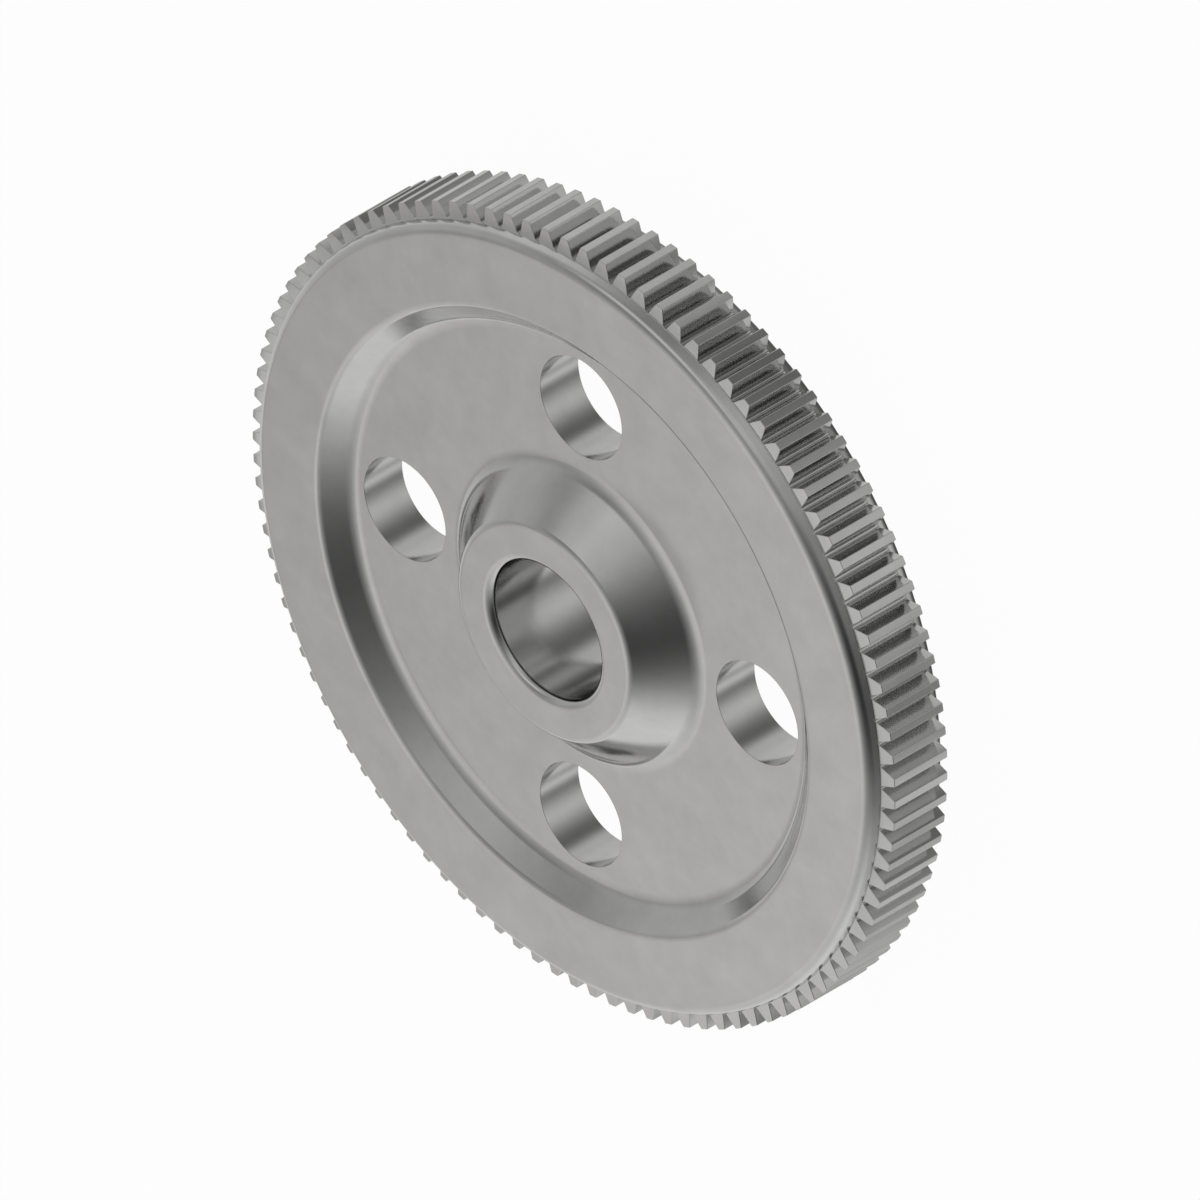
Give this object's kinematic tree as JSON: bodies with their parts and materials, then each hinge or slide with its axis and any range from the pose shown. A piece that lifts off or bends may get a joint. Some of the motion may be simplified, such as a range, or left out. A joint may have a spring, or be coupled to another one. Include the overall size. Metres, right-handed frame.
{
  "type": "gear wheel",
  "caption": "Large spur gear wheel in one piece: toothed rim, recessed web with round lightening holes and a hub with a plain bore.",
  "frame": {"origin": "on the bore axis, midway between the two hub faces, which is also the middle of the rim and the web", "axes": "+Z along the bore axis, up out of the face that the picture shows; +Y through a tooth gap and one lightening hole; the wheel lies flat"},
  "size_m": [0.2674, 0.2674, 0.047],
  "materials": {
    "steel": "satin machined steel, plain grey, with no coating"
  },
  "bodies": {
    "root": {"gear_wheel": "steel"}
  },
  "joints": []
}
